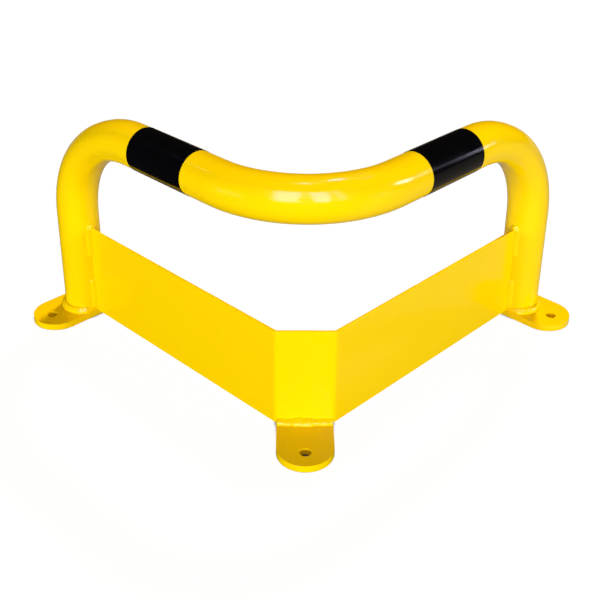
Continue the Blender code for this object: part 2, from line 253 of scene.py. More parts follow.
def bead_tree():
    """Return the tree that lays a rippled weld bead along a guide line.

    The root is the profile's corner 0. The other corners run over the face, from the toe to
    the top. A power of 1 makes the face round, 2 makes it flat and more makes it hollow.
    """
    sockets = {
        "Face Steps": "NodeSocketInt",
        "Toe Power": "NodeSocketFloat",
        "Top Power": "NodeSocketFloat",
        "Ripple Pitch": "NodeSocketFloat",
        "Ripple Depth": "NodeSocketFloat",
        "Waviness": "NodeSocketFloat",
        "Wave Scale": "NodeSocketFloat",
        "Passes": "NodeSocketFloat",
        "Pass Depth": "NodeSocketFloat",
        "Seed": "NodeSocketFloat",
        "Material": "NodeSocketMaterial",
    }
    tree, given = new_tree("Weld bead", sockets)
    path = add_node(tree, "GeometryNodeMeshToCurve", {"Mesh": given["Guide"]})
    corners = math_node(tree, "ADD", given["Face Steps"], ROOT_CORNERS)
    ring = add_node(tree, "GeometryNodeCurvePrimitiveCircle", {"Resolution": corners})
    number = add_node(tree, "GeometryNodeInputIndex").outputs["Index"]
    numbered = add_node(
        tree,
        "GeometryNodeStoreNamedAttribute",
        {"Geometry": ring.outputs["Curve"], "Name": "corner", "Value": number},
        data_type="FLOAT",
        domain="POINT",
    )
    sweep = add_node(
        tree,
        "GeometryNodeCurveToMesh",
        {
            "Curve": path.outputs["Curve"],
            "Profile Curve": numbered.outputs["Geometry"],
            "Fill Caps": True,
        },
    )
    corner = named_value(tree, "corner", "FLOAT")
    share = math_node(
        tree, "DIVIDE", math_node(tree, "SUBTRACT", corner, 1.0), given["Face Steps"]
    )
    quarter = math_node(tree, "MULTIPLY", share, math.pi / 2)
    on_face = math_node(tree, "GREATER_THAN", corner, 0.5)
    towards_toe = math_node(
        tree, "POWER",
        math_node(tree, "MAXIMUM", math_node(tree, "COSINE", quarter), 0.0),
        given["Toe Power"],
    )
    towards_top = math_node(
        tree, "POWER",
        math_node(tree, "MAXIMUM", math_node(tree, "SINE", quarter), 0.0),
        given["Top Power"],
    )
    run = named_value(tree, "run", "FLOAT")
    bow = math_node(tree, "POWER", math_node(tree, "SUBTRACT", share, 0.5), 2.0)
    turns = math_node(
        tree, "SUBTRACT",
        math_node(tree, "DIVIDE", run, given["Ripple Pitch"]),
        math_node(tree, "MULTIPLY", bow, RIPPLE_BOW),
    )
    ripple = math_node(
        tree, "MULTIPLY",
        math_node(tree, "SINE", math_node(tree, "MULTIPLY", turns, 2 * math.pi)),
        given["Ripple Depth"],
    )
    noise = add_node(
        tree,
        "ShaderNodeTexNoise",
        {"W": run, "Scale": given["Wave Scale"], "Detail": WAVE_DETAIL},
        noise_dimensions="4D",
    )
    across_face = math_node(tree, "MULTIPLY", share, WAVE_ACROSS_FACE)
    seeded = add_node(tree, "ShaderNodeCombineXYZ", {"X": given["Seed"], "Y": across_face})
    tree.links.new(seeded.outputs["Vector"], noise.inputs["Vector"])
    lump = math_node(
        tree, "MULTIPLY",
        math_node(tree, "SUBTRACT", noise.outputs[0], 0.5),
        given["Waviness"],
    )
    half_turns = math_node(tree, "MULTIPLY", share, given["Passes"])
    pass_angle = math_node(tree, "MULTIPLY", half_turns, math.pi)
    ridge = math_node(tree, "ABSOLUTE", math_node(tree, "SINE", pass_angle))
    ridges = math_node(tree, "MULTIPLY", ridge, given["Pass Depth"])
    shape = math_node(tree, "ADD", math_node(tree, "ADD", ripple, lump), ridges)
    growth = math_node(tree, "MULTIPLY", math_node(tree, "ADD", shape, 1.0), on_face)
    toe = scaled(tree, named_value(tree, "toe", "FLOAT_VECTOR"), towards_toe)
    top = scaled(tree, named_value(tree, "top", "FLOAT_VECTOR"), towards_top)
    spread = scaled(tree, vector_node(tree, "ADD", toe, top), growth)
    centre = named_value(tree, "centre", "FLOAT_VECTOR")
    shaped = add_node(
        tree,
        "GeometryNodeSetPosition",
        {
            "Geometry": sweep.outputs["Mesh"],
            "Position": vector_node(tree, "ADD", centre, spread),
        },
    )
    return finish_tree(tree, shaped.outputs["Geometry"], given["Material"])


# Meshes


def guide_mesh(name, stations):
    """Return a line through the stations that carries their named values."""
    mesh = bpy.data.meshes.new(name)
    places = [station["centre"] for station in stations]
    links = [(index, index + 1) for index in range(len(places) - 1)]
    mesh.from_pydata(places, links, [])
    for key, value in stations[0].items():
        kind = "FLOAT" if isinstance(value, float) else "FLOAT_VECTOR"
        attribute = mesh.attributes.new(key, kind, "POINT")
        for item, station in zip(attribute.data, stations):
            if kind == "FLOAT":
                item.value = station[key]
            else:
                item.vector = station[key]
    return mesh


def add_object(name, mesh):
    """Put a mesh in the scene."""
    item = bpy.data.objects.new(name, mesh)
    bpy.context.scene.collection.objects.link(item)
    return item


def run_tree(item, tree, values):
    """Make the plain mesh that a tree gives for a guide line."""
    modifier = item.modifiers.new(tree.name, "NODES")
    modifier.node_group = tree
    for socket in tree.interface.items_tree:
        if socket.in_out == "INPUT" and socket.name in values:
            modifier[socket.identifier] = values[socket.name]
    return apply_modifiers(item)


GUIDE_VALUES = ("centre", "bend_axis", "flattening", "toe", "top", "run", "corner")


def apply_modifiers(item):
    """Replace an object's mesh with what its modifiers make of it."""
    bpy.context.view_layer.update()
    graph = bpy.context.evaluated_depsgraph_get()
    made = bpy.data.meshes.new_from_object(item.evaluated_get(graph))
    made.name = item.name
    item.modifiers.clear()
    item.data = made
    for key in GUIDE_VALUES:
        found = made.attributes.get(key)
        if found:
            made.attributes.remove(found)
    return item


def turn_outwards(item):
    """Turn an object's faces outwards."""
    bm = bmesh.new()
    bm.from_mesh(item.data)
    bmesh.ops.recalc_face_normals(bm, faces=bm.faces)
    bm.to_mesh(item.data)
    bm.free()


def finish_piece(item, node, sharp_angle=None):
    """Hand a finished piece over to the frame in place of its CAD node."""
    if sharp_angle is not None:
        item.data.set_sharp_from_angle(angle=math.radians(sharp_angle))
    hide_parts(node)
    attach(item, "root")


def mirrored(vector):
    """Return the same place or direction on the right wing."""
    return Vector((-vector.x, vector.y, vector.z))


def arc_points(centre, radius, start, end, steps):
    """Return points on a level arc between two angles, in degrees from +X."""
    points = []
    for step in range(steps + 1):
        angle = math.radians(start + (end - start) * step / steps)
        points.append(centre + radius * Vector((math.cos(angle), math.sin(angle), 0.0)))
    return points


class GuardPlan:
    """Places that follow from the sizes and the frame."""

    def __init__(self, sizes):
        tube_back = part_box("guard_tube")[1].y
        half_spread = sizes.wing_length * math.sqrt(0.5)
        self.sizes = sizes
        self.left_leg = Vector((-half_spread, tube_back - sizes.tube_radius, 0.0))
        self.rail_corner = Vector((0.0, self.left_leg.y - half_spread, sizes.rail_height))
        self.foot_top = sizes.foot_thickness
        self.half_plate = sizes.plate_thickness / 2
        self.face_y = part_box("underrun_plate")[0].y
        self.plate_top = sizes.rail_height - sizes.leg_bend_radius - sizes.plate_below_bend

    def base(self):
        """Return the foot of the left leg's axis, on top of its foot plate."""
        return self.left_leg + UP * self.foot_top


# Bent tube


BEND_EASE = 0.3
BEND_STEPS = 60
STRAIGHT_STEPS = 6
LEFT_RUN_FACING = 225.0
CORNER_ANGLE = 90.0


def flattening_at(fraction, flattening):
    """Return the flattening at a fraction of the way round a bend, eased at both ends."""
    ease = min(1.0, min(fraction, 1.0 - fraction) / BEND_EASE)
    return flattening * ease * ease * (3.0 - 2.0 * ease)


def station(centre, axis, flattening):
    """Return one station of the tube's path."""
    return {"centre": centre, "bend_axis": axis, "flattening": flattening}


def straight_stations(start, end, axis):
    """Return the stations of a straight run, without its ends."""
    shares = [step / STRAIGHT_STEPS for step in range(1, STRAIGHT_STEPS)]
    return [station(start.lerp(end, share), axis, 0.0) for share in shares]


def leg_bend(plan):
    """Return the stations from the upright left leg to the level run."""
    sizes = plan.sizes
    radius = sizes.leg_bend_radius
    centre = plan.left_leg + ALONG * radius + UP * (sizes.rail_height - radius)
    stations = []
    for step in range(BEND_STEPS + 1):
        fraction = step / BEND_STEPS
        angle = fraction * math.pi / 2
        radial = UP * math.sin(angle) - ALONG * math.cos(angle)
        amount = flattening_at(fraction, sizes.leg_bend_flattening)
        stations.append(station(centre + radial * radius, radial, amount))
    return stations


def corner_bend(plan):
    """Return the stations of the corner bend, from the left run to its middle."""
    sizes = plan.sizes
    radius = sizes.corner_bend_radius
    centre = plan.rail_corner + Vector((0.0, radius * math.sqrt(2), 0.0))
    stations = []
    for step in range(BEND_STEPS // 2 + 1):
        fraction = step / BEND_STEPS
        angle = math.radians(LEFT_RUN_FACING + CORNER_ANGLE * fraction)
        radial = Vector((math.cos(angle), math.sin(angle), 0.0))
        amount = flattening_at(fraction, sizes.corner_bend_flattening)
        stations.append(station(centre + radial * radius, radial, amount))
    return stations


def tube_stations(plan):
    """Return the whole path of the tube, from the left foot to the right one."""
    foot = station(plan.base(), -ALONG, 0.0)
    bend = leg_bend(plan)
    corner = corner_bend(plan)
    left = [foot] + straight_stations(foot["centre"], bend[0]["centre"], -ALONG) + bend
    left += straight_stations(bend[-1]["centre"], corner[0]["centre"], UP) + corner
    right = [
        station(mirrored(item["centre"]), mirrored(item["bend_axis"]), item["flattening"])
        for item in reversed(left[:-1])
    ]
    return left + right


def make_pipe(name, stations, tree, radius, wall, sides, material):
    """Return a pipe swept along the stations, with its wall grown inwards."""
    item = add_object(name, guide_mesh(name, stations))
    run_tree(item, tree, {"Radius": radius, "Sides": sides, "Material": material})
    turn_outwards(item)
    solidify = item.modifiers.new("Wall", "SOLIDIFY")
    solidify.thickness = wall
    solidify.offset = -1.0
    solidify.use_even_offset = True
    return apply_modifiers(item)


# Foot plates and underrun plate


FOOT_TIP_STEPS = 64
FOOT_HEEL_STEPS = 12
HOLE_SIDES = 64
FOLD_STEPS = 20
FOLD_ANGLE = 45.0
WING_FACING = 225.0
EDGE_SEGMENTS = 3
EDGE_ANGLE = 40.0


def round_edges(item, width):
    """Round the sharp edges of a plate as thick paint does."""
    bevel = item.modifiers.new("Painted edges", "BEVEL")
    bevel.width = width
    bevel.segments = EDGE_SEGMENTS
    bevel.limit_method = "ANGLE"
    bevel.angle_limit = math.radians(EDGE_ANGLE)
    bevel.harden_normals = True
    return apply_modifiers(item)


def closed_loop(bm, points):
    """Add a closed loop of edges through the points."""
    verts = [bm.verts.new(point) for point in points]
    return [bm.edges.new((verts[i - 1], verts[i])) for i in range(len(verts))]


def raised_solid(name, loops, bottom, top):
    """Return a solid between two levels, with holes where inner loops are given."""
    bm = bmesh.new()
    edges = []
    for loop in loops:
        edges += closed_loop(bm, [point + UP * bottom for point in loop])
    bmesh.ops.triangle_fill(bm, use_beauty=True, edges=edges)
    raised = bmesh.ops.extrude_face_region(bm, geom=bm.faces[:])
    verts = [item for item in raised["geom"] if isinstance(item, bmesh.types.BMVert)]
    bmesh.ops.translate(bm, verts=verts, vec=UP * (top - bottom))
    bmesh.ops.recalc_face_normals(bm, faces=bm.faces)
    mesh = bpy.data.meshes.new(name)
    bm.to_mesh(mesh)
    bm.free()
    mesh.shade_smooth()
    return mesh


def foot_outline(sizes):
    """Return a foot plate's outline about its anchor hole, with its tip towards -Y."""
    half = sizes.foot_width / 2
    radius = sizes.foot_heel_radius
    tip_centre = Vector((0.0, half - sizes.anchor_hole_from_tip, 0.0))
    heel_y = sizes.foot_length - sizes.anchor_hole_from_tip - radius
    right_heel = Vector((half - radius, heel_y, 0.0))
    left_heel = Vector((radius - half, heel_y, 0.0))
    outline = arc_points(tip_centre, half, 180.0, 360.0, FOOT_TIP_STEPS)
    outline += arc_points(right_heel, radius, 0.0, 90.0, FOOT_HEEL_STEPS)
    outline += arc_points(left_heel, radius, 90.0, 180.0, FOOT_HEEL_STEPS)
    return outline


def foot_places(plan):
    """Return each foot plate's anchor hole and its turn about Z in degrees."""
    sizes = plan.sizes
    reach = sizes.leg_from_tip - sizes.anchor_hole_from_tip
    left = plan.left_leg + OUTWARD * reach - ALONG * sizes.leg_from_middle
    front_y = plan.face_y - sizes.face_from_tip + sizes.anchor_hole_from_tip
    return {
        "left": (left, -45.0),
        "right": (mirrored(left), 45.0),
        "front": (Vector((0.0, front_y, 0.0)), 0.0),
    }


def fold_points(plan, radius):
    """Return the left fold of the underrun plate, on its outer or inner side."""
    sizes = plan.sizes
    outer_radius = sizes.plate_fold_radius + sizes.plate_thickness
    outer_corner = Vector((-sizes.corner_face_width / 2, plan.face_y, 0.0))
    half_fold = math.radians(FOLD_ANGLE) / 2
    middle = math.radians(WING_FACING) + half_fold
    bisector = Vector((math.cos(middle), math.sin(middle), 0.0))
    centre = outer_corner - bisector * outer_radius / math.cos(half_fold)
    return arc_points(centre, radius, WING_FACING, WING_FACING + FOLD_ANGLE, FOLD_STEPS)


def plate_outline(plan):
    """Return the folded strip's outline in plan."""
    sizes = plan.sizes
    end = plan.left_leg + ALONG * (sizes.tube_radius - SINK)
    inner_radius = sizes.plate_fold_radius
    outer = [end + OUTWARD * plan.half_plate]
    outer += fold_points(plan, inner_radius + sizes.plate_thickness)
    inner = [end - OUTWARD * plan.half_plate] + fold_points(plan, inner_radius)
    outer += [mirrored(point) for point in reversed(outer)]
    inner += [mirrored(point) for point in reversed(inner)]
    return outer + inner[::-1]


# Weld beads


BEAD_STEP = 0.0008
BEAD_FACE_STEPS = 12
STITCH_END = 0.006
FRONT_END = 0.0025
SMALLEST_END = 0.3
LAP_END = 0.009
# Start, end and fullness of the front bead's laps, in shares of its length and size
FRONT_LAPS = ((-0.2, 0.34, 0.94), (0.25, 0.70, 1.12), (0.61, 1.2, 0.93))
TOP_CLOSING = 0.0008
SEED_STEP = 3.7
BEAD_SHARP_ANGLE = 60.0
BASE_BEAD = {
    "Face Steps": BEAD_FACE_STEPS, "Toe Power": 1.0, "Top Power": 1.1, "Ripple Pitch": 0.0042,
    "Ripple Depth": 0.012, "Waviness": 0.25, "Wave Scale": 60.0,
    "Passes": 2.0, "Pass Depth": 0.09,
}
STITCH_BEAD = {
    "Face Steps": BEAD_FACE_STEPS, "Toe Power": 1.3, "Top Power": 1.3, "Ripple Pitch": 0.0036,
    "Ripple Depth": 0.03, "Waviness": 0.3, "Wave Scale": 90.0,
    "Passes": 1.0, "Pass Depth": 0.0,
}
FRONT_BEAD = {
    "Face Steps": BEAD_FACE_STEPS, "Toe Power": 1.6, "Top Power": 1.1, "Ripple Pitch": 0.0046,
    "Ripple Depth": 0.02, "Waviness": 0.6, "Wave Scale": 70.0,
    "Passes": 1.0, "Pass Depth": 0.0,
}


def rounded_end(distance, length, end):
    """Return how full a bead is, a distance along it, with rounded ends."""
    depth = min(distance, length - distance) / end
    if depth >= 1.0:
        return 1.0
    return SMALLEST_END + (1.0 - SMALLEST_END) * math.sqrt(1.0 - (1.0 - max(depth, 0.0)) ** 2)


def bead_station(root, toe, top, run):
    """Return one station of a weld bead."""
    return {"centre": root, "toe": toe, "top": top, "run": run}


def bead_runs(length):
    """Return the distances along a bead at which its stations stand."""
    count = max(8, round(length / BEAD_STEP))
    return [length * step / count for step in range(count + 1)]


def base_bead(plan):
    """Return the bead round the left leg, from one face of the plate to the other."""
    sizes = plan.sizes
    seat = sizes.tube_radius - SINK
    skip = math.asin((plan.half_plate - SINK) / seat)
    near_edge = sizes.foot_width / 2 - sizes.leg_from_middle - sizes.foot_edge
    heel = sizes.foot_length - sizes.leg_from_tip - sizes.foot_edge
    length = (2 * math.pi - 2 * skip) * seat
    stations = []
    for run in bead_runs(length):
        angle = skip + run / seat
        along, outward = math.cos(angle), math.sin(angle)
        reach = sizes.base_weld_reach
        if along > 0.0:
            reach = min(reach, near_edge / along - seat)
        if outward < 0.0:
            reach = min(reach, -heel / outward - seat)
        rise = sizes.base_weld_rise * (1.0 + reach / sizes.base_weld_reach) / 2
        radial = ALONG * along + OUTWARD * outward
        root = plan.base() + radial * seat - UP * SINK
        stations.append(bead_station(root, radial * reach, UP * rise, run))
    return stations


def stitch_bead(plan, face, bottom, top):
    """Return a stitch bead on one face of the plate, which may close over its top."""
    sizes = plan.sizes
    seat = sizes.tube_radius - SINK
    stations = []
    for run in bead_runs(top - bottom):
        height = bottom + run
        over = min(1.0, max(0.0, (height - plan.plate_top) / TOP_CLOSING))
        root_out = (plan.half_plate - SINK) * (1.0 - over) - SINK * over
        tube_out = root_out + sizes.stitch_on_tube
        root = Vector((math.sqrt(seat**2 - root_out**2), root_out * face))
        on_tube = Vector((math.sqrt(seat**2 - tube_out**2), tube_out * face))
        across = on_tube - root
        full = rounded_end(run, top - bottom, STITCH_END)
        place = plan.left_leg + UP * height + ALONG * root.x + OUTWARD * root.y
        toe = ALONG * sizes.stitch_on_plate * full
        side = (ALONG * across.x + OUTWARD * across.y) * full
        stations.append(bead_station(place, toe, side, run))
    return stations


def front_bead(plan, face_y, away, length):
    """Return the bead between the corner face and the front foot plate."""
    sizes = plan.sizes
    stations = []
    for run in bead_runs(length):
        full = rounded_end(run, length, FRONT_END) * max(
            size * rounded_end(run - start * length, (end - start) * length, LAP_END)
            for start, end, size in FRONT_LAPS
        )
        root = Vector((run - length / 2, face_y - away * SINK, plan.foot_top - SINK))
        toe = Vector((0.0, away * sizes.front_weld_reach * full, 0.0))
        stations.append(bead_station(root, toe, UP * sizes.front_weld_rise * full, run))
    return stations


def mirrored_bead(stations):
    """Return a bead's stations on the right wing."""
    return [
        bead_station(
            mirrored(item["centre"]), mirrored(item["toe"]), mirrored(item["top"]), item["run"]
        )
        for item in stations
    ]


# Materials


WHITE = (1.0, 1.0, 1.0)
WHOLE = (0.0, 1.0)
NOISE_MIDDLE = (0.3, 0.7)
PAINT_NAME = "yellow_powder_coat"
PAINT = {
    "tones": (0.975, 1.02),
    "clouds": {"Scale": 7.0, "Detail": 3.0},
    "streaks": {"Scale": 38.0, "Detail": 4.0},
    "roughness": (0.11, 0.16),
    "swell": {"Scale": 34.0, "Detail": 1.0},
    "swell_relief": {"Strength": 0.25, "Distance": 0.0006},
    "orange_peel": {"Scale": 420.0, "Detail": 2.0},
    "orange_peel_relief": {"Strength": 0.22, "Distance": 0.00006},
    "specular_level": 0.45,
}
FILM_NAME = "black_film_band"
FILM = {
    "tones": (0.6, 1.6),
    "dust": {"Scale": 60.0, "Detail": 5.0},
    "roughness": (0.08, 0.16),
    "ripples": {"Scale": 55.0, "Detail": 2.0},
    "ripples_relief": {"Strength": 0.2, "Distance": 0.0002},
    "specular_level": 0.2,
}


def new_material(name):
    """Return a new material, its tree, its shader and the object's own coordinates."""
    material = bpy.data.materials.new(name)
    material.use_nodes = True
    tree = material.node_tree
    place = add_node(tree, "ShaderNodeTexCoord").outputs["Object"]
    return material, tree, tree.nodes["Principled BSDF"], place


def noise(tree, place, fineness):
    """Return a noise of a given fineness."""
    return add_node(tree, "ShaderNodeTexNoise", {"Vector": place, **fineness}).outputs[0]


def between(tree, value, given, wanted=WHOLE):
    """Return a value carried over from one range to another."""
    inputs = {
        "Value": value, "From Min": given[0], "From Max": given[1],
        "To Min": wanted[0], "To Max": wanted[1],
    }
    return add_node(tree, "ShaderNodeMapRange", inputs).outputs[0]


def mixed_colour(tree, share, first, second):
    """Return a mix of two plain colours."""
    inputs = {0: share, 6: (*first, 1.0), 7: (*second, 1.0)}
    return add_node(tree, "ShaderNodeMix", inputs, data_type="RGBA").outputs[2]


def mixed_number(tree, share, first, second):
    """Return a mix of two numbers."""
    return add_node(tree, "ShaderNodeMix", {0: share, 2: first, 3: second}).outputs[0]


def relief(tree, height, inputs, below=None):
    """Return the normal of a slight relief, on top of a coarser one where that is given."""
    inputs = {"Height": height, **inputs}
    if below is not None:
        inputs["Normal"] = below
    return add_node(tree, "ShaderNodeBump", inputs).outputs["Normal"]


def painted_steel(colours):
    """Return a glossy yellow powder coat with a faint orange-peel skin."""
    material, tree, shader, place = new_material(PAINT_NAME)
    clouds = noise(tree, place, PAINT["clouds"])
    dark, light = (Vector(colours.paint) * tone for tone in PAINT["tones"])
    tree.links.new(mixed_colour(tree, clouds, dark, light), shader.inputs["Base Color"])
    streaks = noise(tree, place, PAINT["streaks"])
    roughness = between(tree, streaks, NOISE_MIDDLE, PAINT["roughness"])
    tree.links.new(roughness, shader.inputs["Roughness"])
    swell = relief(tree, noise(tree, place, PAINT["swell"]), PAINT["swell_relief"])
    orange_peel = noise(tree, place, PAINT["orange_peel"])
    skin = relief(tree, orange_peel, PAINT["orange_peel_relief"], swell)
    tree.links.new(skin, shader.inputs["Normal"])
    shader.inputs["Specular IOR Level"].default_value = PAINT["specular_level"]
    return material


def black_film(colours):
    """Return the glossy black film of the bands, with faint dust and ripples."""
    material, tree, shader, place = new_material(FILM_NAME)
    dust = noise(tree, place, FILM["dust"])
    dark, light = (Vector(colours.film) * tone for tone in FILM["tones"])
    tree.links.new(mixed_colour(tree, dust, dark, light), shader.inputs["Base Color"])
    roughness = between(tree, dust, NOISE_MIDDLE, FILM["roughness"])
    tree.links.new(roughness, shader.inputs["Roughness"])
    ripples = relief(tree, noise(tree, place, FILM["ripples"]), FILM["ripples_relief"])
    tree.links.new(ripples, shader.inputs["Normal"])
    shader.inputs["Specular IOR Level"].default_value = FILM["specular_level"]
    return material


def paint_material():
    """Return the powder coat, made once."""
    found = bpy.data.materials.get(PAINT_NAME)
    return found or painted_steel(bpy.context.scene.guard_colours)


def film_material():
    """Return the black film, made once."""
    found = bpy.data.materials.get(FILM_NAME)
    return found or black_film(bpy.context.scene.guard_colours)


# Floor and world


FLOOR_HALF = 6.0
FLOOR_LEVEL = -0.0004
FLOOR_GLOW = 1.04
FLOOR_GLOW_SHARE = 0.93
FLOOR_BOUNCE = 0.32
# Painted shade: the floor goes near black where ambient occlusion finds the anchor holes
PAINTED_HOLE_SHADE = (0.02, 0.02, 0.02)
HOLE_SHADE_REACH = 0.03
HOLE_SHADE_OPENNESS = (0.36, 0.5)
# Painted reflection: in glossy rays only, the floor is dark at the left and paler outside the right
# leg, which paints a sheen on the right leg
PAINTED_FLOOR_REFLECTION_LEVELS = (0.02, 0.34)
PAINTED_FLOOR_REFLECTION_PLACE = (-0.2, 0.05)
WORLD_BRIGHTNESS = 0.12
WORLD_MIRRORED_BRIGHTNESS = 0.012
WORLD_TINT = (1.0, 0.72, 0.46)


def studio_floor(floor_colour):
    """Return a matt floor that the camera sees as white, with the guard's shadow.

    Its colour turns near black and its glow is cut where ambient occlusion is low, which paints
    shade at the bottom of the anchor holes.
    """
    material, tree, shader, place = new_material("studio_floor")
    tree.nodes.remove(shader)
    path = add_node(tree, "ShaderNodeLightPath").outputs
    # Painted shade: low ambient occlusion turns the floor's colour near black and cuts its glow in
    # the anchor holes
    sky = add_node(tree, "ShaderNodeAmbientOcclusion", {"Distance": HOLE_SHADE_REACH}).outputs["AO"]
    outside_hole_shade = between(tree, sky, HOLE_SHADE_OPENNESS)
    colour_with_painted_hole_shade = mixed_colour(tree, outside_hole_shade, PAINTED_HOLE_SHADE, floor_colour)
    axes = add_node(tree, "ShaderNodeSeparateXYZ", {0: place}).outputs
    outside_right_leg = math_node(tree, "ADD", axes["X"], axes["Y"])
    # Painted reflection: glossy rays see the floor darker at the left and paler outside the right
    # leg
    painted_reflection_level = between(tree, outside_right_leg, PAINTED_FLOOR_REFLECTION_PLACE, PAINTED_FLOOR_REFLECTION_LEVELS)
    bounced_level = between(tree, path["Is Diffuse Ray"], WHOLE, (1.0, FLOOR_BOUNCE))
    level = mixed_number(tree, path["Is Glossy Ray"], bounced_level, painted_reflection_level)
    matt = add_node(tree, "ShaderNodeBsdfDiffuse", {"Color": scaled(tree, colour_with_painted_hole_shade, level)})
    glow = add_node(
        tree, "ShaderNodeEmission", {"Color": (*WHITE, 1.0), "Strength": FLOOR_GLOW}
    )
    seen = math_node(tree, "MULTIPLY", path["Is Camera Ray"], outside_hole_shade)
    share = math_node(tree, "MULTIPLY", seen, FLOOR_GLOW_SHARE)
    surface = add_node(
        tree, "ShaderNodeMixShader", {0: share, 1: matt.outputs[0], 2: glow.outputs[0]}
    )
    tree.links.new(surface.outputs[0], tree.nodes["Material Output"].inputs["Surface"])
    return material


def add_floor(colours):
    """Add the pale floor."""
    corners = [(-FLOOR_HALF, -FLOOR_HALF), (FLOOR_HALF, -FLOOR_HALF)]
    corners += [(FLOOR_HALF, FLOOR_HALF), (-FLOOR_HALF, FLOOR_HALF)]
    mesh = bpy.data.meshes.new("studio_floor")
    mesh.from_pydata([(x, y, FLOOR_LEVEL) for x, y in corners], [], [(0, 1, 2, 3)])
    mesh.materials.append(studio_floor(colours.floor))
    add_object("studio_floor", mesh)


def add_world():
    """Light the studio softly, and show white to the camera."""
    world = bpy.data.worlds.new("studio")
    world.use_nodes = True
    bpy.context.scene.world = world
    tree = world.node_tree
    background = tree.nodes["Background"]
    path = add_node(tree, "ShaderNodeLightPath").outputs
    levels = (WORLD_BRIGHTNESS, WORLD_MIRRORED_BRIGHTNESS)
    lit = between(tree, path["Is Glossy Ray"], WHOLE, levels)
    level = between(tree, path["Is Camera Ray"], WHOLE, (lit, 1.0))
    tree.links.new(level, background.inputs["Strength"])
    tint = mixed_colour(tree, path["Is Camera Ray"], WORLD_TINT, WHITE)
    tree.links.new(tint, background.inputs["Color"])


# Lamps and camera


class Lamp(NamedTuple):
    """A rectangular lamp that faces the guard.

    Azimuth 0 is in front of the guard and 90 at its right. Angles are in degrees.
    """

    name: str
    azimuth: float
    elevation: float
    distance: float
    width: float
    height: float
    brightness: float
    tint: tuple = WHITE
    lean: float = 0.0


STUDIO_CENTRE = Vector((0.0, 0.0, 0.25))
WARM = (1.0, 0.87, 0.72)
LAMPLIGHT = (1.0, 0.86, 0.66)
COOL = (0.94, 1.0, 1.0)
DAYLIGHT = (0.30, 0.35, 1.0)
SIDE_LIGHT = (0.6, 0.65, 1.0)
DOOR_LIGHT = (0.8, 0.8, 1.0)

# Lamps that light the guard, and that its gloss doesn't mirror
LIGHTING_LAMPS = (
    Lamp("front_key", -3.0, 7.0, 14.0, 10.5, 2.4, 17.7),
    Lamp("high_key", 2.0, 31.0, 8.0, 6.0, 1.4, 5.0, WARM),
    Lamp("rear_lamp", 161.0, 48.0, 6.0, 0.85, 0.85, 155.0, LAMPLIGHT),
    Lamp("wing_fill_left", -60.0, 5.0, 8.0, 2.4, 1.8, 17.5, COOL),
    Lamp("wing_fill_right", 60.0, 5.0, 8.0, 2.4, 1.8, 17.5, COOL),
)
# Windows and small lamps of the room, which only show in the guard's gloss
MIRRORED_LAMPS = (
    Lamp("window_left", -16.0, 31.0, 4.0, 1.25, 3.0, 9.5, DAYLIGHT),
    Lamp("window_right", 12.0, 31.0, 4.0, 0.85, 3.0, 9.5, DAYLIGHT),
    Lamp("window_far_right", 28.0, 31.0, 4.0, 0.35, 3.0, 3.5, DAYLIGHT),
    Lamp("ceiling_lamp_left", -106.0, 41.5, 3.5, 0.3, 0.3, 0.9, DAYLIGHT),
    Lamp("ceiling_lamp_middle", 180.0, 87.0, 3.0, 0.12, 0.1, 75.0, DAYLIGHT),
    Lamp("ceiling_lamp_right", 155.0, 68.0, 3.0, 0.14, 0.12, 65.0, DAYLIGHT),
    Lamp("ceiling_lamp_far_right", 124.0, 63.0, 3.0, 0.25, 0.05, 18.0, DAYLIGHT),
    Lamp("side_windows", 91.5, 14.0, 4.0, 1.05, 0.03, 14.0, SIDE_LIGHT),
    Lamp("side_end_window", 96.0, 8.5, 4.0, 0.12, 0.6, 10.0, DOOR_LIGHT),
    Lamp("side_door", 84.0, 22.5, 4.0, 1.0, 0.56, 16.5, DOOR_LIGHT, -45.0),
)

CAMERA_SENSOR = 36.0
CAMERA_LENS = 63.0
CAMERA_SHIFT = -0.15
CAMERA_PLACE = (-0.0304, -1.5438, 1.0877)
CAMERA_PITCH, CAMERA_YAW, CAMERA_ROLL = 0.4632, 0.014, 0.0097


def add_lamp(lamp):
    """Add a lamp, aimed at the studio's centre and turned about its own aim by its lean."""
    data = bpy.data.lights.new(lamp.name, "AREA")
    data.shape = "RECTANGLE"
    data.size = lamp.width
    data.size_y = lamp.height
    data.energy = lamp.brightness * math.pi * lamp.width * lamp.height
    data.color = lamp.tint
    item = bpy.data.objects.new(lamp.name, data)
    bpy.context.scene.collection.objects.link(item)
    turn, rise = math.radians(lamp.azimuth), math.radians(lamp.elevation)
    level = Vector((math.sin(turn), -math.cos(turn), 0.0)) * math.cos(rise)
    item.location = STUDIO_CENTRE + (level + UP * math.sin(rise)) * lamp.distance
    aim = STUDIO_CENTRE - item.location
    item.rotation_euler = aim.to_track_quat("-Z", "Y").to_euler()
    item.rotation_euler.rotate_axis("Z", math.radians(lamp.lean))
    item.visible_camera = False
    return item


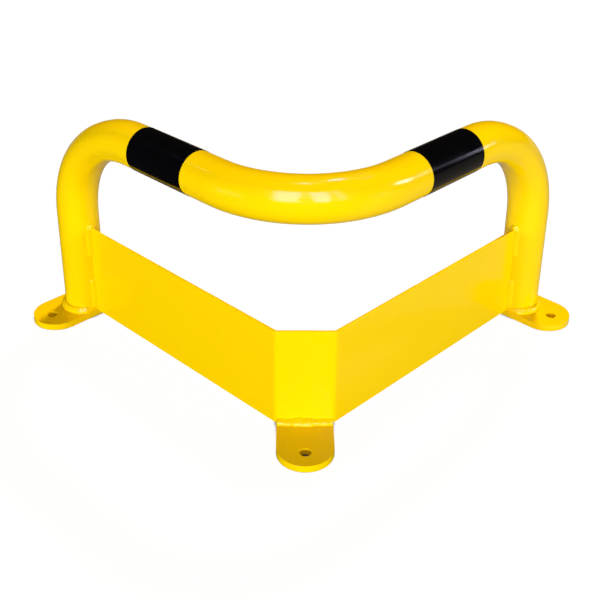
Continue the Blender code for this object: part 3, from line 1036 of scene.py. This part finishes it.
def add_camera():
    """Add the camera at the photograph's viewing angle."""
    data = bpy.data.cameras.new("camera")
    data.sensor_width = CAMERA_SENSOR
    data.lens = CAMERA_LENS
    data.shift_y = CAMERA_SHIFT
    item = bpy.data.objects.new("camera", data)
    bpy.context.scene.collection.objects.link(item)
    level = Vector((math.sin(CAMERA_YAW), math.cos(CAMERA_YAW), 0.0))
    forward = level * math.cos(CAMERA_PITCH) - UP * math.sin(CAMERA_PITCH)
    right = level.cross(UP)
    up = right.cross(forward)
    x_axis = right * math.cos(CAMERA_ROLL) + up * math.sin(CAMERA_ROLL)
    y_axis = up * math.cos(CAMERA_ROLL) - right * math.sin(CAMERA_ROLL)
    turn = Matrix((x_axis, y_axis, -forward)).transposed().to_4x4()
    item.matrix_world = Matrix.Translation(CAMERA_PLACE) @ turn
    bpy.context.scene.camera = item


# Operators


class CORNER_GUARD_OT_tube(bpy.types.Operator):
    """Bend the tube over both legs and round the corner"""

    bl_idname = "corner_guard.tube"
    bl_label = "Bent tube"

    def execute(self, context):
        sizes = context.scene.guard_sizes
        plan = GuardPlan(sizes)
        item = make_pipe(
            "painted_tube", tube_stations(plan), tube_tree(), sizes.tube_radius,
            sizes.tube_wall, sizes.tube_sides, paint_material(),
        )
        finish_piece(item, "guard_tube", sharp_angle=EDGE_ANGLE)
        return {"FINISHED"}


class CORNER_GUARD_OT_underrun_plate(bpy.types.Operator):
    """Fold the underrun plate between the legs"""

    bl_idname = "corner_guard.underrun_plate"
    bl_label = "Underrun plate"

    def execute(self, context):
        sizes = context.scene.guard_sizes
        plan = GuardPlan(sizes)
        mesh = raised_solid(
            "painted_underrun_plate", [plate_outline(plan)], plan.foot_top, plan.plate_top
        )
        mesh.materials.append(paint_material())
        item = round_edges(add_object("painted_underrun_plate", mesh), sizes.plate_edge)
        finish_piece(item, "underrun_plate")
        return {"FINISHED"}


class CORNER_GUARD_OT_foot_plates(bpy.types.Operator):
    """Cut the three foot plates and their anchor holes"""

    bl_idname = "corner_guard.foot_plates"
    bl_label = "Foot plates"

    def execute(self, context):
        sizes = context.scene.guard_sizes
        plan = GuardPlan(sizes)
        hole = arc_points(Vector(), sizes.anchor_hole_radius, 0.0, 360.0, HOLE_SIDES)[:-1]
        for side, (place, turn) in foot_places(plan).items():
            name = f"painted_foot_{side}"
            mesh = raised_solid(name, [foot_outline(sizes), hole], 0.0, sizes.foot_thickness)
            mesh.materials.append(paint_material())
            item = round_edges(add_object(name, mesh), sizes.foot_edge)
            turned = Matrix.Translation(place) @ Matrix.Rotation(math.radians(turn), 4, "Z")
            item.data.transform(turned)
            finish_piece(item, f"foot_plate_{side}")
        return {"FINISHED"}


class CORNER_GUARD_OT_black_bands(bpy.types.Operator):
    """Wrap the black film bands round the rail"""

    bl_idname = "corner_guard.black_bands"
    bl_label = "Black bands"

    def execute(self, context):
        sizes = context.scene.guard_sizes
        plan = GuardPlan(sizes)
        tree = tube_tree()
        start = sizes.leg_bend_radius + sizes.band_from_leg
        end = sizes.wing_length - sizes.corner_bend_radius - sizes.band_from_corner
        rail = plan.left_leg + UP * sizes.rail_height
        ends = [rail + ALONG * start, rail + ALONG * end]
        for side in ("left", "right"):
            places = ends if side == "left" else [mirrored(place) for place in ends]
            stations = [station(places[0], UP, 0.0)]
            stations += straight_stations(places[0], places[1], UP)
            stations.append(station(places[1], UP, 0.0))
            item = make_pipe(
                f"black_sleeve_{side}", stations, tree,
                sizes.tube_radius + sizes.band_thickness + SINK,
                sizes.band_thickness + 2 * SINK, sizes.tube_sides, film_material(),
            )
            finish_piece(item, f"black_band_{side}", sharp_angle=EDGE_ANGLE)
        return {"FINISHED"}


class CORNER_GUARD_OT_weld_beads(bpy.types.Operator):
    """Lay the painted weld beads"""

    bl_idname = "corner_guard.weld_beads"
    bl_label = "Weld beads"

    def execute(self, context):
        sizes = context.scene.guard_sizes
        plan = GuardPlan(sizes)
        tree = bead_tree()
        beads = {}
        low = plan.foot_top + sizes.base_weld_rise
        length = (plan.plate_top - low - sizes.stitch_weld_gap) / 2
        levels = {
            "lower": (plan.foot_top + sizes.base_weld_rise / 2, low + length),
            "upper": (plan.plate_top - length, plan.plate_top + sizes.stitch_over_top),
        }
        for side in ("left", "right"):
            place = mirrored_bead if side == "right" else list
            beads[f"base_weld_{side}"] = (place(base_bead(plan)), BASE_BEAD)
            for face, face_name in ((1, "outer"), (-1, "inner")):
                for level_name, (bottom, top) in levels.items():
                    name = f"stitch_weld_{side}_{face_name}_{level_name}"
                    stitch = place(stitch_bead(plan, face, bottom, top))
                    beads[name] = (stitch, STITCH_BEAD)
        outer = front_bead(plan, plan.face_y, -1, sizes.front_weld_length)
        inner_y = plan.face_y + sizes.plate_thickness
        inner = front_bead(plan, inner_y, 1, sizes.inner_weld_length)
        beads["front_weld_outer"] = (outer, FRONT_BEAD)
        beads["front_weld_inner"] = (inner, FRONT_BEAD)
        for number, (node, (stations, manner)) in enumerate(beads.items()):
            name = "painted_" + node.replace("weld", "bead")
            item = add_object(name, guide_mesh(name, stations))
            values = dict(manner, Seed=number * SEED_STEP, Material=paint_material())
            run_tree(item, tree, values)
            turn_outwards(item)
            finish_piece(item, node, sharp_angle=BEAD_SHARP_ANGLE)
        return {"FINISHED"}


class CORNER_GUARD_OT_stage(bpy.types.Operator):
    """Set up the floor, the lamps and the camera"""

    bl_idname = "corner_guard.stage"
    bl_label = "Studio"

    def execute(self, context):
        scene = context.scene
        scene.view_settings.view_transform = "Standard"
        add_floor(scene.guard_colours)
        add_world()
        for lamp in LIGHTING_LAMPS:
            add_lamp(lamp).visible_glossy = False
        for lamp in MIRRORED_LAMPS:
            add_lamp(lamp).visible_diffuse = False
        add_camera()
        return {"FINISHED"}


class CORNER_GUARD_PT_panel(bpy.types.Panel):
    """Steps and sizes of the corner guard"""

    bl_label = "Corner protection guard"
    bl_idname = "CORNER_GUARD_PT_panel"
    bl_space_type = "VIEW_3D"
    bl_region_type = "UI"
    bl_category = "Corner guard"

    def draw(self, context):
        layout = self.layout
        for group in (context.scene.guard_sizes, context.scene.guard_colours):
            column = layout.column(align=True)
            for key in group.__annotations__:
                column.prop(group, key)
        for step in STEPS:
            layout.operator(step.bl_idname)


STEPS = (
    CORNER_GUARD_OT_tube,
    CORNER_GUARD_OT_underrun_plate,
    CORNER_GUARD_OT_foot_plates,
    CORNER_GUARD_OT_black_bands,
    CORNER_GUARD_OT_weld_beads,
    CORNER_GUARD_OT_stage,
)
CLASSES = (GuardSizes, GuardColours, *STEPS, CORNER_GUARD_PT_panel)


def register():
    """Register the classes and their settings."""
    for item in CLASSES:
        bpy.utils.register_class(item)
    bpy.types.Scene.guard_sizes = PointerProperty(type=GuardSizes)
    bpy.types.Scene.guard_colours = PointerProperty(type=GuardColours)


def unregister():
    """Take the classes and their settings away."""
    del bpy.types.Scene.guard_colours
    del bpy.types.Scene.guard_sizes
    for item in reversed(CLASSES):
        bpy.utils.unregister_class(item)


def main():
    """Build the dressed guard and its studio."""
    register()
    for step in STEPS:
        group, name = step.bl_idname.split(".")
        getattr(getattr(bpy.ops, group), name)()


if __name__ == "__main__":
    main()
